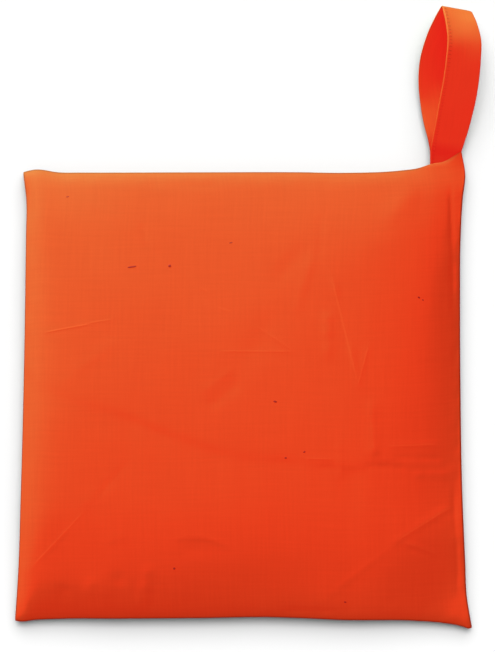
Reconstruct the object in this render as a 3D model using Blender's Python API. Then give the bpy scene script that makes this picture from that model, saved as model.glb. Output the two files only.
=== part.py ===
"""Safety vest packed in its square stow pouch, lying on its back, with the hanging loop standing open.

The pouch is cut as one front panel and two back panels that overlap like an envelope. Its four
sides are turned seams, drawn in between the corners by the folded vest inside. A doubled strap is
sewn into the top seam at the right-hand corner. Lengths are in metres, +X to the right, +Y towards
the loop and +Z up from the surface that the pouch lies on.
"""
from collections import namedtuple
import math

import bpy
import numpy as np

MM = 0.001

# Finished pouch, seam to seam at the middle of its sides.
POUCH_WIDTH = 180 * MM
POUCH_LENGTH = 186 * MM
FILLED_HEIGHT = 20 * MM
WALL = 1.0 * MM
SEAM_GAP = 0.3 * MM

# The front panel rolls down to its seams within these distances of each side.
ROLL_LEFT = 22 * MM
ROLL_RIGHT = 24 * MM
ROLL_TOP = 20 * MM
ROLL_BOTTOM = 30 * MM
ROLL_ROUNDNESS = 2.6
# The back panels curve up from the surface to the seams.
ROLL_BACK = 18 * MM
BACK_ROUNDNESS = 2.2
# How squarely two rolls meet at a corner, which leaves its tip as a thin empty ear.
CORNER_SQUARENESS = 2.3
DOME = 1.75 * MM
STEEPEST_WALL = 1.6

SEAM_HEIGHT = 7.5 * MM
CORNER_REACH = 45 * MM

# Envelope mouth across the back: the upper panel is tucked inside the lower one.
INNER_HEM = -22 * MM
OUTER_HEM = 26 * MM
HEM_CLEARANCE = 2 * MM
HEM_RAMP = 12 * MM
TUCKED_SIDE_INSET = 1.0 * MM

# The strap's two ends are sewn in side by side, and the seam opens round them.
STRAP_WALL = 1.0 * MM
STRAP_ROOT_LEFT = 72.5 * MM
STRAP_ROOT_RIGHT = 87.6 * MM
STRAP_ROOT_END = 87.0 * MM
ROOT_OPENING = 1.6 * MM
ROOT_RAMP = 5 * MM
STRAP_STEP = 2.6 * MM

# Folded vest: a rounded stack that fills the pouch, clear of the panels.
VEST_INSET = 10 * MM
VEST_CLEARANCE = 0.6 * MM
VEST_SQUARENESS = 7
VEST_SIDES = 48
VEST_RINGS = (0.25, 0.5, 0.7, 0.86, 0.95)

# Fine rows near the seams and coarse ones in the middle.
PANEL_ROWS = 24
EDGE_CROWDING = 0.75

Corner = namedtuple("Corner", "x y height")
BOTTOM_LEFT = Corner(-91.3 * MM, -90.4 * MM, 4.6 * MM)
BOTTOM_RIGHT = Corner(91.3 * MM, -93.2 * MM, 4.4 * MM)
TOP_LEFT = Corner(-88.0 * MM, 89.0 * MM, 4.8 * MM)
TOP_RIGHT = Corner(87.0 * MM, 97.2 * MM, 6.0 * MM)

# Each side, from its left or lower corner: fraction of the straight line between the corners, and
# how far the seam is drawn in from that line.
Station = namedtuple("Station", "along inset")
LEFT_SIDE = [
    Station(0.00, 0.0),
    Station(0.05, 0.1),
    Station(0.12, 0.6),
    Station(0.27, 1.05),
    Station(0.45, 1.5),
    Station(0.86, 1.5),
    Station(0.93, 1.2),
    Station(1.00, 0.0),
]
RIGHT_SIDE = [
    Station(0.00, 0.0),
    Station(0.03, 0.9),
    Station(0.06, 1.7),
    Station(0.14, 2.2),
    Station(0.30, 2.8),
    Station(0.48, 2.6),
    Station(0.69, 1.9),
    Station(0.81, 1.2),
    Station(0.90, -0.1),
    Station(0.95, -1.3),
    Station(1.00, 0.0),
]
TOP_SIDE = [
    Station(0.00, 0.0),
    Station(0.024, -0.7),
    Station(0.083, 0.5),
    Station(0.13, 1.05),
    Station(0.40, 3.3),
    Station(0.63, 5.2),
    Station(0.73, 6.2),
    Station(0.86, 6.55),
    Station(0.90, 6.0),
    Station(0.93, 4.6),
    Station(0.96, 3.8),
    Station(1.00, 0.0),
]
BOTTOM_SIDE = [
    Station(0.00, 0.0),
    Station(0.014, -0.25),
    Station(0.04, 0.5),
    Station(0.098, 1.25),
    Station(0.23, 1.75),
    Station(0.40, 2.5),
    Station(0.56, 3.1),
    Station(0.71, 2.65),
    Station(0.88, 2.6),
    Station(0.935, 1.9),
    Station(0.97, 0.8),
    Station(1.00, 0.0),
]

# The strap's centre line in millimetres, from the sewn-in end of the upper run over the crease to
# the sewn-in end of the lower run. Tilt, in degrees, lifts the strap's left edge.
StrapStation = namedtuple("StrapStation", "x y z tilt width")
UPPER_RUN = [
    StrapStation(80.9, 88.3, 6.75, 0, 12.4),
    StrapStation(80.9, 93.5, 6.75, 0, 12.4),
    StrapStation(81.0, 97.4, 7.3, 5, 12.5),
    StrapStation(81.9, 101.4, 9.2, 10, 13.3),
    StrapStation(83.1, 106.4, 12.6, 13, 14.1),
    StrapStation(84.3, 112.2, 16.4, 15, 14.8),
    StrapStation(85.5, 118.9, 20.0, 15, 15.0),
    StrapStation(86.6, 126.2, 22.6, 17, 15.0),
    StrapStation(87.3, 133.6, 23.9, 21, 15.0),
    StrapStation(87.7, 140.9, 23.6, 25, 15.0),
    StrapStation(87.0, 147.8, 21.2, 30, 15.0),
    StrapStation(85.1, 153.6, 17.5, 34, 15.0),
]
LOWER_RUN = [
    StrapStation(85.1, 153.6, 17.5, 34, 15.0),
    StrapStation(83.2, 149.5, 14.6, 33, 15.0),
    StrapStation(81.0, 145.0, 11.6, 32, 15.0),
    StrapStation(77.5, 135.0, 6.7, 30, 15.0),
    StrapStation(76.4, 127.0, 5.0, 27, 15.0),
    StrapStation(77.0, 119.0, 4.4, 22, 15.0),
    StrapStation(79.0, 110.5, 4.5, 14, 14.6),
    StrapStation(80.6, 102.7, 5.0, 6, 13.5),
    StrapStation(80.9, 97.4, 5.4, 2, 12.5),
    StrapStation(80.9, 93.5, 5.45, 0, 12.4),
    StrapStation(80.9, 88.3, 5.45, 0, 12.4),
]

# The folded edges of the vest, bottom to top: share of the stack's height and reach of each nose.
Layer = namedtuple("Layer", "share reach")
VEST_LAYERS = [
    Layer(0.22, 1.8 * MM),
    Layer(0.18, 1.1 * MM),
    Layer(0.23, 2.0 * MM),
    Layer(0.17, 1.3 * MM),
    Layer(0.20, 1.6 * MM),
]

# Linear colour, roughness and metallic value of each piece.
Finish = namedtuple("Finish", "colour roughness metallic")
FRONT_CLOTH = Finish((0.80, 0.078, 0.018), 0.62, 0.0)
BACK_CLOTH = Finish((0.78, 0.070, 0.016), 0.66, 0.0)
STRAP_CLOTH = Finish((0.79, 0.072, 0.017), 0.60, 0.0)
VEST_CLOTH = Finish((0.82, 0.100, 0.020), 0.72, 0.0)


def smooth_through(places, values, where):
    """Cubic curve through stations, each station's slope coming from its neighbours."""
    places = np.asarray(places, float)
    values = np.asarray(values, float)
    slopes = np.gradient(values, places)
    left = np.clip(np.searchsorted(places, where, side="right") - 1, 0, len(places) - 2)
    gap = places[left + 1] - places[left]
    s = (where - places[left]) / gap
    start = values[left] * (1 + 2 * s) * (1 - s) ** 2 + slopes[left] * gap * s * (1 - s) ** 2
    end = values[left + 1] * s * s * (3 - 2 * s) + slopes[left + 1] * gap * s * s * (s - 1)
    return start + end


def falling(distance, reach):
    """1 at no distance, easing to 0 at reach and beyond."""
    x = np.clip(distance / reach, 0, 1)
    return 1 - x * x * (3 - 2 * x)


def side_curve(first, last, stations, where):
    """Points of one seam, drawn in towards the pouch's middle and lowest at its corners."""
    chord = np.array([last.x - first.x, last.y - first.y])
    length = math.hypot(*chord)
    inward = np.array([-chord[1], chord[0]]) / length
    if inward @ np.array([first.x + last.x, first.y + last.y]) > 0:
        inward = -inward
    inset = MM * smooth_through([s.along for s in stations], [s.inset for s in stations], where)
    height = (SEAM_HEIGHT
              + (first.height - SEAM_HEIGHT) * falling(where * length, CORNER_REACH)
              + (last.height - SEAM_HEIGHT) * falling((1 - where) * length, CORNER_REACH))
    return np.stack([
        first.x + chord[0] * where + inward[0] * inset,
        first.y + chord[1] * where + inward[1] * inset,
        height,
    ], axis=-1)


def seam_sheet(across, along):
    """Points spanning the four seams, at fractions across (left to right) and along (bottom to top)."""
    u = across[..., None]
    v = along[..., None]
    corners = [np.array(corner) for corner in (BOTTOM_LEFT, BOTTOM_RIGHT, TOP_LEFT, TOP_RIGHT)]
    bottom = side_curve(BOTTOM_LEFT, BOTTOM_RIGHT, BOTTOM_SIDE, across)
    top = side_curve(TOP_LEFT, TOP_RIGHT, TOP_SIDE, across)
    left = side_curve(BOTTOM_LEFT, TOP_LEFT, LEFT_SIDE, along)
    right = side_curve(BOTTOM_RIGHT, TOP_RIGHT, RIGHT_SIDE, along)
    flat = ((1 - u) * (1 - v) * corners[0] + u * (1 - v) * corners[1]
            + (1 - u) * v * corners[2] + u * v * corners[3])
    return (1 - v) * bottom + v * top + (1 - u) * left + u * right - flat


def rolled_off(across, along, left, right, bottom, top):
    """0 on the flat middle of a panel, 1 at its seams and in the ears at its corners."""
    sideways = np.maximum(1 - across * POUCH_WIDTH / left, 1 - (1 - across) * POUCH_WIDTH / right)
    lengthways = np.maximum(1 - along * POUCH_LENGTH / bottom, 1 - (1 - along) * POUCH_LENGTH / top)
    power = CORNER_SQUARENESS
    both = np.clip(sideways, 0, 1) ** power + np.clip(lengthways, 0, 1) ** power
    return np.minimum(both ** (1 / power), 1)


def root_opening(points):
    """How far each panel stands off the seam to let the sewn-in strap through."""
    x, y = points[..., 0], points[..., 1]
    sideways = np.maximum(np.maximum(STRAP_ROOT_LEFT - x, x - STRAP_ROOT_RIGHT), 0)
    lengthways = np.maximum(STRAP_ROOT_END - y, 0)
    return ROOT_OPENING * falling(np.hypot(sideways, lengthways), ROOT_RAMP)


def front_inside(across, along):
    """Inner face of the front panel."""
    points = seam_sheet(across, along)
    rolled = rolled_off(across, along, ROLL_LEFT, ROLL_RIGHT, ROLL_BOTTOM, ROLL_TOP)
    swell = (1 - (2 * across - 1) ** 2) * (1 - (2 * along - 1) ** 2)
    rim = points[..., 2] + SEAM_GAP / 2 + root_opening(points)
    plateau = FILLED_HEIGHT - WALL - DOME
    points[..., 2] = plateau + (rim - plateau) * rolled ** ROLL_ROUNDNESS + DOME * swell
    return points


def back_inside(across, along):
    """Inner face of a back panel that lies on the surface."""
    points = seam_sheet(across, along)
    rolled = rolled_off(across, along, ROLL_BACK, ROLL_BACK, ROLL_BACK, ROLL_BACK)
    rim = points[..., 2] - SEAM_GAP / 2 - root_opening(points)
    points[..., 2] = WALL + (rim - WALL) * rolled ** BACK_ROUNDNESS
    return points


def steepness(points):
    """How much taller than square-on a sloping wall measures, at each point of a grid."""
    normal = np.cross(np.gradient(points, axis=1), np.gradient(points, axis=0))
    return np.clip(np.linalg.norm(normal, axis=-1) / np.abs(normal[..., 2]), 1, STEEPEST_WALL)


def raised(points, height):
    """The same points, higher by height."""
    moved = points.copy()
    moved[..., 2] += height
    return moved


def fraction_along(y):
    """Where a height on the laid-out pouch falls between its bottom and top seams."""
    return 0.5 + y / POUCH_LENGTH


def tucked_share(along):
    """1 where the upper back panel lies on the lower one, easing to 0 beyond the outer hem."""
    y = (along - 0.5) * POUCH_LENGTH
    return falling(np.maximum(y - OUTER_HEM - HEM_CLEARANCE, 0), HEM_RAMP)


def crowded(count):
    """Fractions from 0 to 1, closest together near both ends."""
    even = np.linspace(0, 1, count + 1)
    return (1 - EDGE_CROWDING) * even + EDGE_CROWDING * (1 - np.cos(math.pi * even)) / 2


def panel_fractions():
    """Grid of fractions across and along the whole pouch."""
    return np.meshgrid(crowded(PANEL_ROWS), crowded(PANEL_ROWS))


def back_fractions(start, end):
    """Grid of fractions across the pouch, and along it from start to end, with rows at the hems."""
    rows = crowded(PANEL_ROWS)
    ramp = [OUTER_HEM + HEM_CLEARANCE + HEM_RAMP * share for share in (0, 0.3, 0.6, 1)]
    hem_rows = [fraction_along(y) for y in [INNER_HEM, OUTER_HEM] + ramp]
    plain = [row for row in rows if min(abs(row - hem) for hem in hem_rows) > 0.01]
    kept = [row for row in plain + hem_rows if start < row < end]
    return np.meshgrid(rows, sorted([start, end] + kept))


def grid_faces(rows, columns, offset, upward):
    """Quads of a grid of points, facing up or down."""
    faces = []
    for row in range(rows - 1):
        for column in range(columns - 1):
            corner = offset + row * columns + column
            quad = (corner, corner + 1, corner + columns + 1, corner + columns)
            faces.append(quad if upward else quad[::-1])
    return faces


def shell_between(lower, upper):
    """Closed wall between two grids of points, the upper one above the lower."""
    rows, columns = lower.shape[:2]
    count = rows * columns
    vertices = np.concatenate([lower.reshape(-1, 3), upper.reshape(-1, 3)])
    faces = grid_faces(rows, columns, 0, upward=False) + grid_faces(rows, columns, count, upward=True)
    bottom_row = list(range(columns))
    right_column = [row * columns + columns - 1 for row in range(1, rows)]
    top_row = [(rows - 1) * columns + column for column in range(columns - 2, -1, -1)]
    left_column = [row * columns for row in range(rows - 2, 0, -1)]
    rim = bottom_row + right_column + top_row + left_column
    for here, there in zip(rim, rim[1:] + rim[:1]):
        faces.append((here, there, there + count, here + count))
    return vertices, faces


def front_panel():
    inside = front_inside(*panel_fractions())
    return shell_between(inside, raised(inside, WALL * steepness(inside)))


def lower_back_panel():
    inside = back_inside(*back_fractions(0, fraction_along(OUTER_HEM)))
    return shell_between(raised(inside, -WALL * steepness(inside)), inside)


def upper_back_panel():
    """The tucked panel: lifted over the lower one and drawn in at its sides where they overlap."""
    across, along = back_fractions(fraction_along(INNER_HEM), 1)
    tucked = tucked_share(along)
    margin = tucked * TUCKED_SIDE_INSET / POUCH_WIDTH
    resting = back_inside(margin + (1 - 2 * margin) * across, along)
    slope = steepness(resting)
    inside = raised(resting, tucked * (WALL + SEAM_GAP) * slope)
    return shell_between(raised(inside, -WALL * slope), inside)


def run_samples(stations):
    """Evenly stepped centre points, tilts and widths along one run of the strap."""
    centres = np.array([[s.x, s.y, s.z] for s in stations]) * MM
    steps = np.linalg.norm(np.diff(centres, axis=0), axis=1)
    travelled = np.concatenate([[0], np.cumsum(steps)])
    where = np.linspace(0, travelled[-1], round(travelled[-1] / STRAP_STEP) + 1)
    points = np.stack([smooth_through(travelled, centres[:, axis], where) for axis in range(3)], axis=-1)
    tilts = np.radians(smooth_through(travelled, [s.tilt for s in stations], where))
    widths = MM * smooth_through(travelled, [s.width for s in stations], where)
    return points, tilts, widths


def run_frames(points, tilts):
    """Directions across the strap and out of the loop, at each point of a run."""
    forward = np.gradient(points, axis=0)
    forward /= np.linalg.norm(forward, axis=1)[:, None]
    level = np.stack([np.cos(tilts), 0 * tilts, -np.sin(tilts)], axis=-1)
    across = level - (level * forward).sum(axis=1)[:, None] * forward
    across /= np.linalg.norm(across, axis=1)[:, None]
    return across, np.cross(across, forward)


def strap():
    """One strap, folded over at its crease, as a row of four-cornered sections."""
    sections = []
    runs = [run_samples(UPPER_RUN), run_samples(LOWER_RUN)]
    frames = [run_frames(points, tilts) for points, tilts, _ in runs]
    crease_out = frames[0][1][-1] + frames[1][1][0]
    crease_out *= 2 / (crease_out @ crease_out)
    frames[0][1][-1] = crease_out
    for number, ((points, _, widths), (across, outward)) in enumerate(zip(runs, frames)):
        first = number
        for point, width, sideways, out in list(zip(points, widths, across, outward))[first:]:
            half_width = sideways * width / 2
            half_wall = out * STRAP_WALL / 2
            sections.append([point - half_width - half_wall, point + half_width - half_wall,
                             point + half_width + half_wall, point - half_width + half_wall])
    count = len(sections)
    faces = [(0, 1, 2, 3), tuple(4 * (count - 1) + corner for corner in (3, 2, 1, 0))]
    for section in range(count - 1):
        for corner in range(4):
            here = 4 * section + corner
            there = 4 * section + (corner + 1) % 4
            faces.append((here, here + 4, there + 4, there))
    return np.array(sections).reshape(-1, 3), faces


def vest_ring(scale):
    """Fractions across and along the pouch of one rounded ring of the folded vest."""
    angles = np.linspace(0, 2 * math.pi, VEST_SIDES, endpoint=False)
    power = 2 / VEST_SQUARENESS
    reach_x = scale * (0.5 - VEST_INSET / POUCH_WIDTH)
    reach_y = scale * (0.5 - VEST_INSET / POUCH_LENGTH)
    across = 0.5 + reach_x * np.sign(np.cos(angles)) * np.abs(np.cos(angles)) ** power
    along = 0.5 + reach_y * np.sign(np.sin(angles)) * np.abs(np.sin(angles)) ** power
    return across, along


def vest_bottom(across, along):
    """Underside of the stack, which lies on the two overlapping back panels."""
    return raised(back_inside(across, along), WALL + SEAM_GAP + VEST_CLEARANCE)


def vest_top(across, along):
    return raised(front_inside(across, along), -VEST_CLEARANCE)


def vest_edge(lower, upper):
    """Rings between the bottom and top rims, one nose and one groove for each folded layer."""
    rings = []
    outward = lower[:, :2] / np.linalg.norm(lower[:, :2], axis=1)[:, None]
    floor = 0.0
    for number, layer in enumerate(VEST_LAYERS):
        if number:
            rings.append(lower + (upper - lower) * floor)
        nose = lower + (upper - lower) * (floor + layer.share / 2)
        nose[:, :2] += outward * layer.reach
        rings.append(nose)
        floor += layer.share
    return rings


def folded_vest():
    """The packed vest as one rounded stack, layered where its folds show at the edge."""
    scales = VEST_RINGS + (1.0,)
    bottoms = [vest_bottom(*vest_ring(scale)) for scale in scales]
    tops = [vest_top(*vest_ring(scale)) for scale in scales]
    rings = bottoms + vest_edge(bottoms[-1], tops[-1]) + tops[::-1]
    centre = (np.array(0.5), np.array(0.5))
    vertices = np.concatenate(rings + [vest_bottom(*centre)[None], vest_top(*centre)[None]])
    faces = []
    last = (len(rings) - 1) * VEST_SIDES
    low_centre = len(rings) * VEST_SIDES
    for here in range(VEST_SIDES):
        there = (here + 1) % VEST_SIDES
        faces.append((low_centre, there, here))
        faces.append((low_centre + 1, last + here, last + there))
        for ring in range(len(rings) - 1):
            start = ring * VEST_SIDES
            faces.append((start + here, start + there, start + VEST_SIDES + there, start + VEST_SIDES + here))
    return vertices, faces


def finish_material(name, finish):
    material = bpy.data.materials.new(name)
    material.use_nodes = True
    shader = material.node_tree.nodes["Principled BSDF"]
    shader.inputs["Base Color"].default_value = (*finish.colour, 1)
    shader.inputs["Roughness"].default_value = finish.roughness
    shader.inputs["Metallic"].default_value = finish.metallic
    return material


def add_piece(name, shape, finish, parent):
    vertices, faces = shape
    mesh = bpy.data.meshes.new(name)
    mesh.from_pydata(vertices.tolist(), [], faces)
    mesh.shade_smooth()
    mesh.set_sharp_from_angle(angle=math.radians(40))
    mesh.materials.append(finish_material(name + "_cloth", finish))
    piece = bpy.data.objects.new(name, mesh)
    piece.parent = parent
    bpy.context.collection.objects.link(piece)
    return piece


def bottom_centre(pieces):
    """Middle of the lowest face of the box round all the pieces."""
    points = np.array([vertex.co for piece in pieces for vertex in piece.data.vertices])
    low = points.min(axis=0)
    high = points.max(axis=0)
    return (low[0] + high[0]) / 2, (low[1] + high[1]) / 2, low[2]


def main():
    for old in list(bpy.data.objects):
        bpy.data.objects.remove(old, do_unlink=True)
    pouch = bpy.data.objects.new("pouch", None)
    bpy.context.collection.objects.link(pouch)
    pieces = [
        add_piece("pouch_front", front_panel(), FRONT_CLOTH, pouch),
        add_piece("pouch_back_lower", lower_back_panel(), BACK_CLOTH, pouch),
        add_piece("pouch_back_upper", upper_back_panel(), BACK_CLOTH, pouch),
        add_piece("hanging_loop", strap(), STRAP_CLOTH, pouch),
        add_piece("folded_vest", folded_vest(), VEST_CLOTH, pouch),
    ]
    pouch.location = [-value for value in bottom_centre(pieces)]


main()
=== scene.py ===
"""Looks of the safety vest packed in its square stow pouch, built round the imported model.

Every cloth is a thin shell on the form of its solid: a front and two overlapping backs whose edges
turn in at the seams, and a doubled strap with an edge-stitched side. Lengths are in metres. The
tables are in millimetres in the pouch's own plan, +X right and +Y towards the loop, and the shift
from that plan to the frame is read from the front panel's box.
"""

from collections import namedtuple
import math

import bpy
import numpy as np
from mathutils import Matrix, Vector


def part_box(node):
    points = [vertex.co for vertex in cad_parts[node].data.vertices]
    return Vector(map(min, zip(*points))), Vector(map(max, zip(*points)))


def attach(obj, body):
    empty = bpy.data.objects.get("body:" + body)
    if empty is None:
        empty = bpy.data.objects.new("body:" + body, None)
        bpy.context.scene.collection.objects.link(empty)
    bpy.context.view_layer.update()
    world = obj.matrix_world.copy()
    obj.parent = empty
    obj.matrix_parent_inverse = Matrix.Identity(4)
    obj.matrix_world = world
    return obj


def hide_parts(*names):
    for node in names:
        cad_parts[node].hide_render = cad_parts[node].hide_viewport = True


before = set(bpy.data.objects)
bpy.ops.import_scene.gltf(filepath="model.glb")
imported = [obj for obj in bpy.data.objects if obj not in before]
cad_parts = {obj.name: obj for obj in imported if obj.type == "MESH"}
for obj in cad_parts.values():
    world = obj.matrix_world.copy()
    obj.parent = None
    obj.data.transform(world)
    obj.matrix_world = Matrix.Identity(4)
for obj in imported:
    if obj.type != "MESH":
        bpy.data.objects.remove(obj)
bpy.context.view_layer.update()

MM = 0.001


def table(columns, rows):
    """Rows whose values go by their columns' names."""
    row = namedtuple("Row", columns)
    return [row(*values) for values in rows]


# Finished pouch, seam to seam at the middle of its sides.
POUCH_WIDTH = 180 * MM
POUCH_LENGTH = 186 * MM
FILLED_HEIGHT = 20 * MM
DOME = 3.8 * MM
CORNER_SQUARENESS = 2.0
SEAM_HEIGHT = 7.5 * MM
CORNER_REACH = 45 * MM

# How a cloth rolls down to each seam: over what reach, how late and steeply, and how much of the
# fall is kept for a sharper drop at the seam itself.
Roll = namedtuple("Roll", "reach roundness drop drop_reach")
FRONT_ROLLS = {
    "left": Roll(30.2 * MM, 6.6, 0.8 * MM, 2.0 * MM),
    "right": Roll(45.0 * MM, 1.53, 0.0 * MM, 1.0 * MM),
    "bottom": Roll(45.0 * MM, 1.20, 1.50 * MM, 3.5 * MM),
    "top": Roll(45.0 * MM, 2.35, 3.26 * MM, 2.3 * MM),
}
BACK_ROLLS = dict.fromkeys(FRONT_ROLLS, Roll(18.0 * MM, 2.2, 0.0 * MM, 1.0 * MM))
DROP_HELD = 15 * MM
ROOT_FLAT_FROM = 60 * MM
ROOT_FLAT_TO = 76 * MM

# Cloth thickness, and the turned edge: how far the cloth stands off the seam before it turns in.
CLOTH = 0.35 * MM
LIP = 1.75 * MM
EDGE_INSET = 0.30 * MM
TURN_START = 0.8 * MM
TURN_END = 2.0 * MM
TURN_DEPTH = 1.2 * MM
TURN_ROWS = 8
ALLOWANCE = 3.0 * MM
SEAM_GAP = 0.24 * MM

# Envelope mouth across the back.
INNER_HEM = -22 * MM
OUTER_HEM = 26 * MM
HEM_CLEARANCE = 2 * MM
HEM_RAMP = 12 * MM
HEM_DEPTH = 11 * MM
HEM_LAYERS = 0.85 * MM
HEM_TURN = 0.2 * MM
HEM_FOLD = 1.15 * CLOTH
HEM_SPLAY = 0.3
TUCKED_SIDE_INSET = 1.0 * MM

# Hanging loop.
STRAP_THICKNESS = 0.85 * MM
STRAP_STEP = 0.5 * MM
STRAP_ROOT_LEFT = 72.5 * MM
STRAP_ROOT_RIGHT = 87.6 * MM
STRAP_ROOT_END = 87.0 * MM
ROOT_OPENING = 1.6 * MM
ROOT_RAMP = 5 * MM
ROOT_LIFT = 0.8 * MM
ROOT_LIFT_RAMP = 14 * MM
ROOT_SHADE_FROM = 8 * MM
ROOT_SHADE_TO = 15 * MM
ROOT_SHADE_UNDER = 4 * MM
CREASE_SOFTNESS = 0.7 * MM
CREASE_SKEW = math.radians(8)
CREASE_REACH = 9 * MM
CREASE_SOFT_TO = 6 * MM
EDGE_CORD = 0.20 * MM
EDGE_CORD_IN = 0.45 * MM
EDGE_CORD_WIDTH = 0.33 * MM
STITCH_GROOVE = 0.10 * MM
STITCH_GROOVE_WIDTH = 0.5 * MM
EDGE_STITCH_IN = 1.3 * MM
STITCH_PITCH = 1.5 * MM
STITCH_LENGTH = 1.1 * MM
# How far from the crease the dents and painted shade between stitches stay full, and from where faint.
HOLES_FULL_TO = 19 * MM
HOLES_FAINT_FROM = 28 * MM
THREAD_RADIUS = 0.15 * MM
SEWN_IN = 9 * MM

# Grid of the cloth panels.
FRONT_COLUMNS = 190
FRONT_ROWS = 196
BACK_COLUMNS = 120
BACK_ROWS = 84
EDGE_CROWDING = 0.45

Corner = namedtuple("Corner", "x y height")
BOTTOM_LEFT = Corner(-91.3 * MM, -90.4 * MM, 4.6 * MM)
BOTTOM_RIGHT = Corner(91.3 * MM, -93.2 * MM, 4.4 * MM)
TOP_LEFT = Corner(-88.0 * MM, 89.0 * MM, 4.8 * MM)
TOP_RIGHT = Corner(87.0 * MM, 97.2 * MM, 6.0 * MM)

# Each side, from its left or lower corner: fraction of the straight line between the corners, and
# how far the seam is drawn in from that line.
LEFT_SIDE = [
    (0.00, 0.0), (0.05, 0.45), (0.12, 0.95), (0.27, 1.35), (0.45, 1.65), (0.86, 1.55),
    (0.94, 1.4), (1.00, 0.0),
]
RIGHT_SIDE = [
    (0.00, 0.0), (0.03, 0.9), (0.06, 1.7), (0.14, 2.2), (0.30, 2.8), (0.48, 2.6), (0.69, 1.9),
    (0.81, 1.2), (0.90, -0.1), (0.95, -1.3), (1.00, 0.0),
]
TOP_SIDE = [
    (0.00, 0.0), (0.024, -0.7), (0.083, 0.9), (0.13, 1.35), (0.40, 3.5), (0.63, 5.35),
    (0.73, 6.4), (0.86, 6.55), (0.90, 6.0), (0.93, 4.6), (0.96, 3.8), (1.00, 0.0),
]
BOTTOM_SIDE = [
    (0.00, 0.0), (0.014, -0.25), (0.04, 0.4), (0.098, 1.1), (0.23, 1.65), (0.40, 2.35),
    (0.56, 3.15), (0.64, 2.9), (0.71, 2.5), (0.88, 2.5), (0.935, 1.8), (0.97, 0.85),
    (0.982, 0.30), (0.993, -0.35), (1.00, 0.0),
]

# The strap's centre line, from the sewn-in end of the upper run over the crease to the sewn-in end
# of the lower run: x, y, z, tilt and width. Tilt, in degrees, lifts the strap's left edge.
UPPER_RUN = [
    (80.9, 88.3, 6.75, 0, 12.4),
    (80.9, 93.5, 6.75, 0, 12.4),
    (81.0, 97.4, 7.3, 5, 12.5),
    (81.9, 101.4, 9.2, 10, 13.3),
    (83.1, 106.4, 12.6, 13, 14.1),
    (84.3, 112.2, 16.4, 15, 14.8),
    (85.5, 118.9, 20.0, 15, 15.0),
    (86.6, 126.2, 22.6, 17, 15.0),
    (87.3, 133.6, 23.9, 21, 15.0),
    (87.7, 140.9, 23.6, 25, 15.0),
    (86.5, 147.8, 21.2, 30, 14.6),
    (84.9, 153.9, 17.5, 34, 14.8),
]
LOWER_RUN = [
    (84.9, 153.9, 17.5, 34, 14.8),
    (82.3, 149.5, 14.6, 33, 15.0),
    (80.2, 145.0, 11.6, 32, 15.0),
    (77.4, 135.0, 6.7, 28, 15.0),
    (77.1, 127.0, 5.0, 18, 15.0),
    (78.0, 119.0, 4.4, 6, 15.0),
    (79.2, 110.5, 4.4, 2, 14.6),
    (80.6, 102.7, 4.9, 0, 13.5),
    (80.9, 97.4, 5.4, 2, 12.5),
    (80.9, 93.5, 5.45, 0, 12.4),
    (80.9, 88.3, 5.45, 0, 12.4),
]

# Where the folded vest fills the front out, and, below 0, where it leaves it slack.
MOUNDS = table("x y reach_x reach_y height", [
    (-76.9, -22.3, 30.4, 60.0, 1.30),
    (-89.8, -3.4, 53.5, 36.3, 1.30),
    (-78.3, -82.9, 60.0, 17.0, 1.30),
    (-78.5, 61.2, 60.0, 17.7, -1.06),
    (-9.4, 57.2, 33.7, 26.2, -1.30),
    (77.7, 52.1, 15.7, 43.8, 1.30),
    (52.5, -55.7, 60.0, 28.2, -1.30),
])
MOUND_TAPER = 6 * MM

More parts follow.
